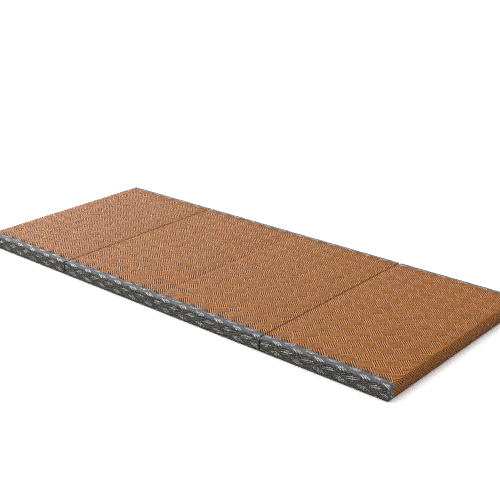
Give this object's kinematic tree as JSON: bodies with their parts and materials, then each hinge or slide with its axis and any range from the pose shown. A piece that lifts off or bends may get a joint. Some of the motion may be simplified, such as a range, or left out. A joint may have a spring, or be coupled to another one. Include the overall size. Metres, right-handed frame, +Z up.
{
  "type": "folding tatami mat",
  "caption": "Folding tatami mat laid open and flat: firm padded sections faced with diagonal basket-weave cane, edged with patterned cloth and backed with dark cloth.",
  "frame": {"origin": "on the floor under the middle of the open mat, which is also its middle joint", "axes": "+X along the mat's length, +Y across its width towards the far long edge, +Z up out of the cane face"},
  "size_m": [1.9, 0.8, 0.0492],
  "materials": {
    "backing_cloth": "dark blue-grey plain-woven polyester backing, matt",
    "woven_cane": "diagonal basket weave of split brown cane strips, satin",
    "border_cloth": "grey jacquard border with a pale interlocking line pattern, soft sheen",
    "gusset_cloth": "charcoal jacquard side cloth with a pale interlocking line pattern, matt"
  },
  "bodies": {
    "root": {"pad_left": "backing_cloth", "pad_right": "backing_cloth", "cane_left": "woven_cane", "cane_middle": "woven_cane", "cane_right": "woven_cane", "border_near_left": "border_cloth", "border_near_middle": "border_cloth", "border_near_right": "border_cloth", "border_far_left": "border_cloth", "border_far_middle": "border_cloth", "border_far_right": "border_cloth", "gusset_near_1": "gusset_cloth", "gusset_near_2": "gusset_cloth", "gusset_near_3": "gusset_cloth", "gusset_near_4": "gusset_cloth", "gusset_far_1": "gusset_cloth", "gusset_far_2": "gusset_cloth", "gusset_far_3": "gusset_cloth", "gusset_far_4": "gusset_cloth"}
  },
  "joints": []
}
